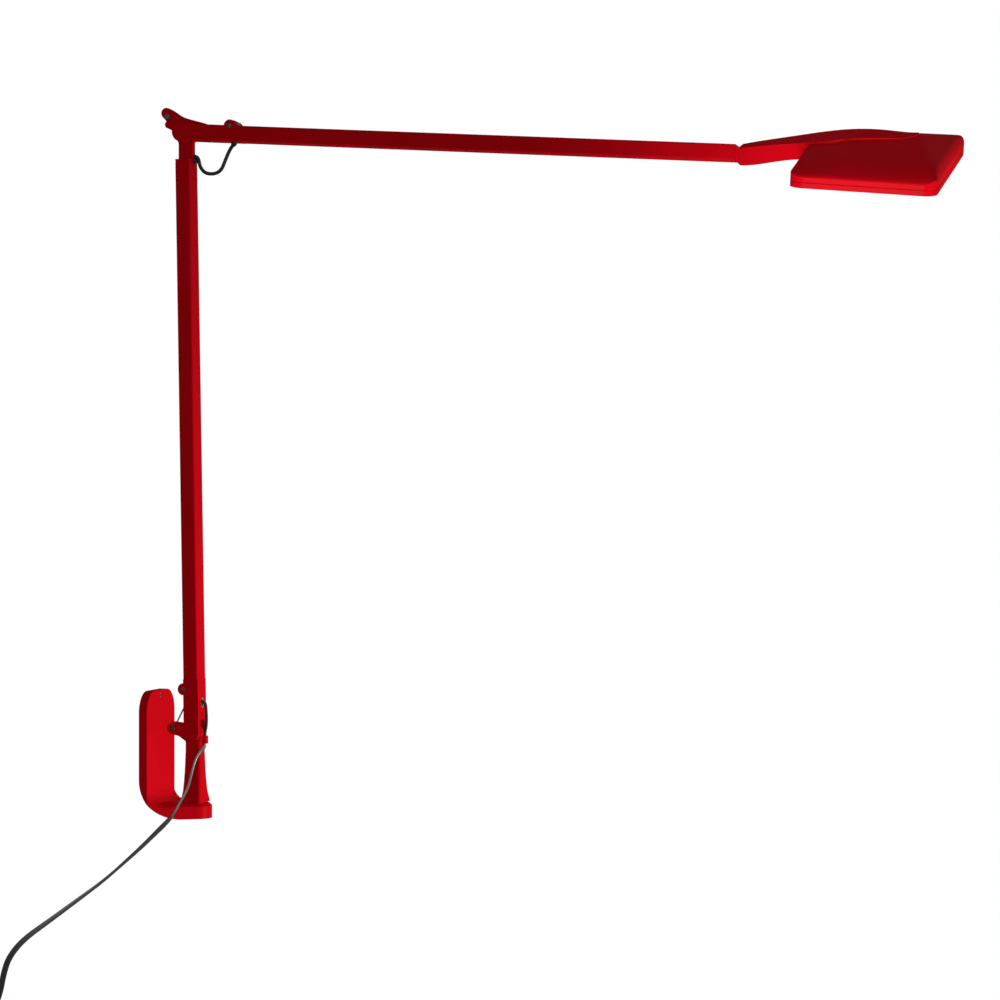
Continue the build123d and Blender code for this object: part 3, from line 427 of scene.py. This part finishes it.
# The twin cord from the clip to the adapter, with its spare length wound in a coil.
def makeMainsCord():
    route = inMetres(np.vstack([mainsCord["points"], coilPoints(), mainsCord["tail"]]))
    line = readRoute("mainsRoute", route, 5)
    hanging = len(mainsCord["points"]) / len(route)
    share = np.clip(np.linspace(0, 1, len(line)) / hanging, 0, 1)
    turn = np.radians(np.interp(share, mainsCord["turnAt"], mainsCord["turnBy"]))
    profile = twinProfile(mainsCord["width"], mainsCord["thick"])
    vertices = carryProfile(line, profile, np.array((1.0, 0, 0)), turn)
    cord = meshFrom("mainsCord", vertices, gridFaces(len(line), len(profile)),
                    finishes["cord_rubber"])
    along = lengthAlong(line)
    # Painted highlight: how glossy each point of the cord is, strongest near the clip
    paintedHighlight = np.interp(along, *zip(*mainsCord["paintedHighlight"]))
    layer = cord.data.attributes.new("paintedHighlight", "FLOAT", "POINT")
    layer.data.foreach_set("value", np.repeat(paintedHighlight, len(profile)).astype(np.float32))
    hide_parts("mains_cord", "cord_coil", "adapter_lead")
    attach(cord, "bracket")
    print("mains cord", round(float(lengthAlong(line)[-1]), 3), "m")


cordLead = {
    "points": [(33.5, 0, 42.6), (37.9, 0, 40.2), (39.9, 0, 38.4), (40.5, 0, 32), (40.5, 0, 24.5),
               (39.5, 0, 19.4), (39.5, 0, 15.8), (39.5, 0, 11)],
    "length": 0.034,
    "exit": (37.9, 0, 40.2),
    "bend": ((38, 0, 37), (39.5, 0, 16)),
    # share of the length, and how far the flat cord has turned there, in degrees
    "turnAt": [0, 0.3, 0.7, 1],
    "turnBy": [90, 75, 50, 90],
}


# The same twin cord from the slot in the arm down into the clip on the post.
def makeCordLead():
    line = readRoute("leadRoute", inMetres(cordLead["points"]), 10)
    profile = twinProfile(mainsCord["width"], mainsCord["thick"])
    share = np.linspace(0, 1, len(line))
    turn = np.radians(np.interp(share, cordLead["turnAt"], cordLead["turnBy"]))
    vertices = carryProfile(line, profile, np.array((1.0, 0, 0.2)), turn)
    lead = meshFrom("cordLead", vertices, gridFaces(len(line), len(profile)),
                    finishes["cord_rubber"])
    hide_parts("cord_lead")
    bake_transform(lead)
    print("cord lead", round(float(lengthAlong(line)[-1]), 4), "m")


elbowCable = {
    "elbow": (24.93, 0, 444.34),
    "points": [(5.0, 0, -16.2), (6.5, 0, -17), (9.6, 0, -18.2), (10.6, 0, -24.6),
               (14.6, 0, -29.4), (21.4, 0, -30.2), (26.9, 0, -27.6), (30, 0, -20),
               (33.2, 0, -13), (36.8, 0, -8.5), (38.6, 0, -6)],
    "radius": 1.3 * mm,
    "length": 0.057,
    "bend": ((6.5, 0, -17), (36.8, 0, -8.5)),
}


# The round cable that loops under the elbow, from the lower arm's cap to the fork.
def makeElbowCable():
    centre = np.array(elbowCable["elbow"])
    route = inMetres(np.array(elbowCable["points"]) + centre)
    line = readRoute("elbowRoute", route, 8)
    profile = roundProfile(elbowCable["radius"])
    vertices = carryProfile(line, profile, np.array((0, 1.0, 0)))
    cable = meshFrom("elbowCable", vertices, gridFaces(len(line), len(profile)),
                     finishes["cord_rubber"])
    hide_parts("elbow_cable")
    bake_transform(cable)
    print("elbow cable", round(float(lengthAlong(line)[-1]), 4), "m")


rope = {"radius": 0.56, "strands": 7, "groove": 0.24, "sides": 42, "turns": 5, "steps": 121}
balanceWires = {
    "shoulder_wire": {"bodies": ("post", "lower_arm"),
                      "ends": [(17.11, 0, 22.58), (29.61, 0, 47.04)]},
    "elbow_wire": {"bodies": ("lower_arm", "upper_arm"),
                   "ends": [(14.37, 0, 454.85), (59.76, 0, 443.45)]},
}


# Strands wound as one: the lobed section turns evenly along the wire, which runs straight between
# its two ends.
def makeBalanceWires():
    darkWire = plainFinish("darkWire", (0.012, 0.011, 0.011), (0.03, 0.028, 0.027),
                           (0.35, 0.5))
    for name, setup in balanceWires.items():
        first, last = inMetres(setup["ends"])
        share = np.linspace(0, 1, rope["steps"])
        line = first + (last - first) * share[:, None]
        profile = lobedProfile(rope["radius"] * mm, rope["strands"], rope["groove"], rope["sides"])
        turn = 2 * rope["turns"] * np.pi * share
        vertices = carryProfile(line, profile, np.array((0, 1.0, 0)), turn)
        wire = meshFrom(name.replace("_w", "W"), vertices, gridFaces(len(line), len(profile)),
                        darkWire)
        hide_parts(name)
        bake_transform(wire)
    print("balance wires strung")


sleeves = {
    # name: (start, heading, profile of distance and radius, body)
    "cableSleeveLow": ((29.5, 0, 427.2), (0.6, 0, -0.8),
                       [(0, 0.6), (0, 1.7), (0.4, 1.9), (4.2, 1.85), (5.4, 1.65), (6, 1.45),
                        (6, 0.6)], "lower_arm"),
    "cableSleeveHigh": ((62.9, 0, 437.6), (-0.58, 0, -0.81),
                        [(0, 0.6), (0, 1.8), (0.4, 2.0), (3.6, 1.9), (4.6, 1.5), (4.6, 0.6)],
                        "upper_arm"),
}


# Short rubber sleeves that guard the cable where it leaves each arm.
def makeSleeves():
    for name, (start, heading, profile, body) in sleeves.items():
        sleeve = turnedShape(name, profile, start, heading, finishes["cord_rubber"],
                             24)
        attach(sleeve, body)


makeMainsCord()
makeCordLead()
makeElbowCable()
makeBalanceWires()
makeSleeves()


headFrame = {
    "origin": (428.136, 1.378, 412.038),  # on the rim's plane, under the tilt pin
    "along": (0.99556, 0.00718, -0.09296),
    "across": (0.01875, 0.96126, 0.27500),
    "shadeStart": 42,
}
headCover = {
    "length": 95,
    "width": 174,
    "corner": 9,
    "base": 3.8,
    "crown": [(0, 19.4), (8, 20.6), (20, 22.9), (30, 24.9), (36, 25.7), (46, 25.9), (95, 25.9)],
    "edge": [(0, 10), (20, 11.4), (95, 12.6)],  # where the ridge's slopes would meet the sides
    "taper": (12.2, 0.62),  # height and slope of the fall towards the far end
    # side: height of the wall, and how far in from it the roof's bend starts
    "bends": {"near": (7, 31), "far": (10, 3), "left": (9, 2.5), "right": (7.5, 4.5)},
    "wall": 1.6,
    "soften": 0.8,  # how far from their meeting line the two falls blend
    "wallRows": (0, 0.1, 0.5, 0.85),  # shares of the wall's height
    "roofRows": 56,
    "ridgeLine": (40, 60),  # the roof's rings draw in to this stretch
    "drawIn": (0.98, 1.8),  # how near they come, and how closely they crowd at the outline
}


# Points of the head's own frame: along the shade, over it towards the far side, and up.
def headPoints(along, over, height):
    lengthwise, crosswise = np.array(headFrame["along"]), np.array(headFrame["across"])
    upward = np.cross(lengthwise, crosswise)
    along, over, height = np.broadcast_arrays(along, over, height)
    return inMetres(np.array(headFrame["origin"]) + (headFrame["shadeStart"] + along)[..., None] *
                    lengthwise + over[..., None] * crosswise + height[..., None] * upward)


# A ridge that falls evenly to the long sides, times a quarter ellipse near each side: the root
# of 1 - (1 - d)^2 for d the share of the bend's width that has been crossed.
def roofHeight(along, over):
    half = headCover["width"] / 2
    crown = np.interp(along, *zip(*headCover["crown"]))
    edge = np.interp(along, *zip(*headCover["edge"]))
    ridge = edge + (crown - edge) * (1 - np.abs(over) / half)
    low, slope = headCover["taper"]
    taper = low + slope * (headCover["length"] - along)
    soften = headCover["soften"]
    ridge = -soften * np.log(np.exp(-ridge / soften) + np.exp(-taper / soften))  # soft minimum
    distances = {"near": over + half, "far": half - over, "left": along,
                 "right": headCover["length"] - along}
    height = ridge
    for side, (low, width) in headCover["bends"].items():
        rise = np.sqrt(1 - (1 - np.clip(distances[side] / width, 0, 1)) ** 2)
        height = np.minimum(height, low + (ridge - low) * rise)
    return height


# Points round a rectangle with round corners: each corner's arc, then the next side.
def roundedOutline(length, width, corner, perSide=40, perCorner=9):
    middles = np.array([(length - corner, width / 2 - corner), (corner, width / 2 - corner),
                        (corner, corner - width / 2), (length - corner, corner - width / 2)])
    points = []
    for index, middle in enumerate(middles):
        angle = np.radians(90 * index) + np.linspace(0, np.pi / 2, perCorner)
        arc = middle + corner * np.stack([np.cos(angle), np.sin(angle)], axis=1)
        follow = middles[(index + 1) % 4]
        start = follow + corner * np.array([np.cos(angle[-1]), np.sin(angle[-1])])
        side = arc[-1] + (start - arc[-1]) * np.linspace(0, 1, perSide + 1)[1:-1, None]
        points += [arc, side]
    return np.vstack(points)


# The shade's shell: its wall stands on the outline, and the roof is rings of points drawn in
# from the outline to a line along the ridge, lifted to the roof's height.
def makeHeadCover():
    setup = headCover
    outline = roundedOutline(setup["length"], setup["width"], setup["corner"])
    middle = np.stack([np.clip(outline[:, 0], *setup["ridgeLine"]), np.zeros(len(outline))], axis=1)
    nearest, crowding = setup["drawIn"]
    inward = nearest * np.linspace(0, 1, setup["roofRows"]) ** crowding
    rings = []
    wallTop = roofHeight(*outline.T)
    for share in setup["wallRows"]:
        rings.append(headPoints(*outline.T, setup["base"] + (wallTop - setup["base"]) * share))
    for share in inward:
        spot = outline + (middle - outline) * share
        rings.append(headPoints(*spot.T, roofHeight(*spot.T)))
    grid = np.stack(rings)
    sides = len(outline)
    faces = gridFaces(len(grid), sides)[:-2]
    faces.append(list(range((len(grid) - 1) * sides, len(grid) * sides)))
    piece = meshFrom("shadeCover", grid.reshape(-1, 3), faces, finishes["red_enamel"])
    solid = piece.modifiers.new("wall", "SOLIDIFY")
    solid.thickness = setup["wall"] * mm
    solid.offset = -1
    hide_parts("head_cover")
    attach(piece, "head")
    print("head cover on")


makeHeadCover()


floorSetup = {"half": 6, "level": -0.9, "colour": (0.8, 0.8, 0.8, 1), "roughness": 0.9}


# A wide pale floor. The camera sees past it, so that a view from below isn't blocked.
def makeStage():
    material, nodes, links, shader = newMaterial("paleFloor")
    shader.inputs["Base Color"].default_value = floorSetup["colour"]
    shader.inputs["Roughness"].default_value = floorSetup["roughness"]
    half, level = floorSetup["half"], floorSetup["level"]
    corners = np.array([(-half, -half, level), (half, -half, level), (half, half, level),
                        (-half, half, level)], float)
    mesh = bpy.data.meshes.new("floor")
    mesh.from_pydata(corners.tolist(), [], [(0, 1, 2, 3)])
    mesh.materials.append(material)
    floor = bpy.data.objects.new("floor", mesh)
    floor.visible_camera = False
    bpy.context.collection.objects.link(floor)


# An even grey light all round, which the camera, metal and glass see as white.
def makeWorld():
    settings = {"light": 0.255, "seen": 1.0}
    world = bpy.data.worlds.new("surroundings")
    bpy.context.scene.world = world
    world.use_nodes = True
    nodes, links = world.node_tree.nodes, world.node_tree.links
    background = nodes["Background"]
    path = nodes.new("ShaderNodeLightPath")
    seen = addNode(nodes, "ShaderNodeMath", operation="ADD", use_clamp=True)
    through = addNode(nodes, "ShaderNodeMath", operation="ADD", use_clamp=True)
    strength = nodes.new("ShaderNodeMapRange")
    strength.inputs["To Min"].default_value = settings["light"]
    strength.inputs["To Max"].default_value = settings["seen"]
    links.new(path.outputs["Is Camera Ray"], seen.inputs[0])
    links.new(path.outputs["Is Glossy Ray"], seen.inputs[1])
    links.new(seen.outputs["Value"], through.inputs[0])
    links.new(path.outputs["Is Transmission Ray"], through.inputs[1])
    links.new(through.outputs["Value"], strength.inputs["Value"])
    background.inputs["Color"].default_value = (1, 1, 1, 1)
    links.new(strength.outputs["Result"], background.inputs["Strength"])


lamps = {
    "rightFill": {"place": (1.45, 0, -0.4), "aim": (0.05, 0, 0.15), "size": 0.7, "power": 4.5,
                  "shadow": False},
    "armSpot": {"place": (1.45, 0, -0.4), "aim": (0.05, 0, -0.06), "size": 0.12, "power": 52,
                "cone": 38, "soft": 1.0, "shadow": False},
    "endSpot": {"place": (1.45, 0, -0.4), "aim": (0.56, 0, 0.41), "size": 0.12, "power": 35,
                "cone": 18, "soft": 0.9, "shadow": False},
    "headSpot": {"place": (0.48, -0.64, 0.1), "aim": (0.5, -0.03, 0.41), "size": 0.12,
                 "power": 27, "cone": 22, "soft": 0.9},
}


# One soft area lamp, and a spot where a cone is given. The cones are aimed at the lamp at
# rest, and three of the four cast no shadow. The camera doesn't see them.
def makeLamps():
    for name, setup in lamps.items():
        spot = "cone" in setup
        data = bpy.data.lights.new(name, "SPOT" if spot else "AREA")
        data.energy = setup["power"]
        data.use_shadow = setup.get("shadow", True)
        if spot:
            data.spot_size = math.radians(setup["cone"])
            data.spot_blend = setup["soft"]
            data.shadow_soft_size = setup["size"]
        else:
            data.size = setup["size"]
        lamp = bpy.data.objects.new(name, data)
        lamp.location = setup["place"]
        heading = Vector(setup["aim"]) - Vector(setup["place"])
        lamp.rotation_euler = heading.to_track_quat("-Z", "Y").to_euler()
        lamp.visible_camera = False
        bpy.context.collection.objects.link(lamp)


makeStage()
makeWorld()
makeLamps()
print("lights set")
